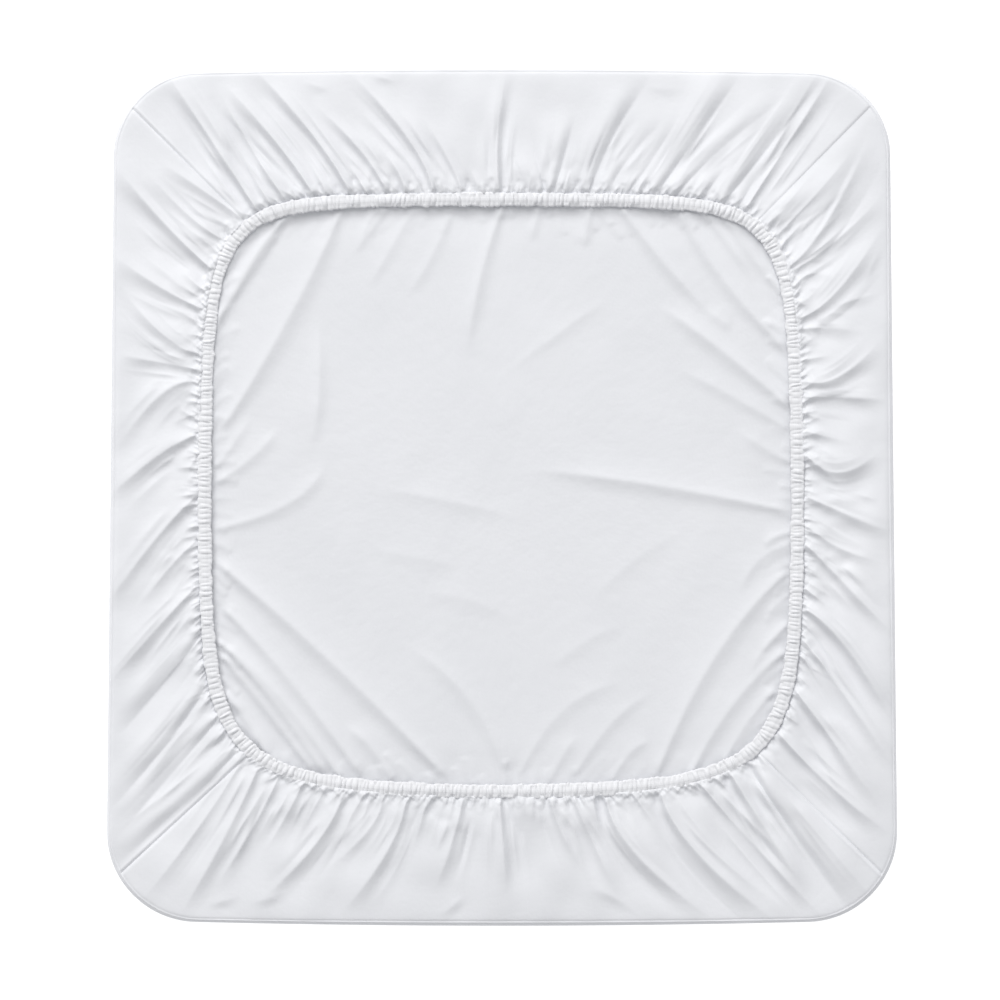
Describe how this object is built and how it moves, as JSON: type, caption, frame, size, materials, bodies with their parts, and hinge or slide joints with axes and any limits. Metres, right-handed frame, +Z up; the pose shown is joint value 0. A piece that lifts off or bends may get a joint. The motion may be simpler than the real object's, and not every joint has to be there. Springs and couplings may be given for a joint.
{
  "type": "fitted sheet",
  "caption": "Empty fitted sheet lying face down: flat top panel, side panels turned up over a soft rim and gathered into a ribbed elastic band round the mouth.",
  "frame": {"origin": "on the floor under the middle of the lying sheet", "axes": "+X across the bed, +Y towards the head edge, +Z up out of the mouth"},
  "size_m": [1.838, 1.998, 0.0417],
  "materials": {
    "white_cloth": "smooth matt plain weave, cool white",
    "white_elastic": "ribbed white elastic binding"
  },
  "bodies": {
    "root": {"top_panel": "white_cloth", "skirt_head": "white_cloth", "skirt_right": "white_cloth", "skirt_foot": "white_cloth", "skirt_left": "white_cloth", "elastic_band": "white_elastic"}
  },
  "joints": []
}
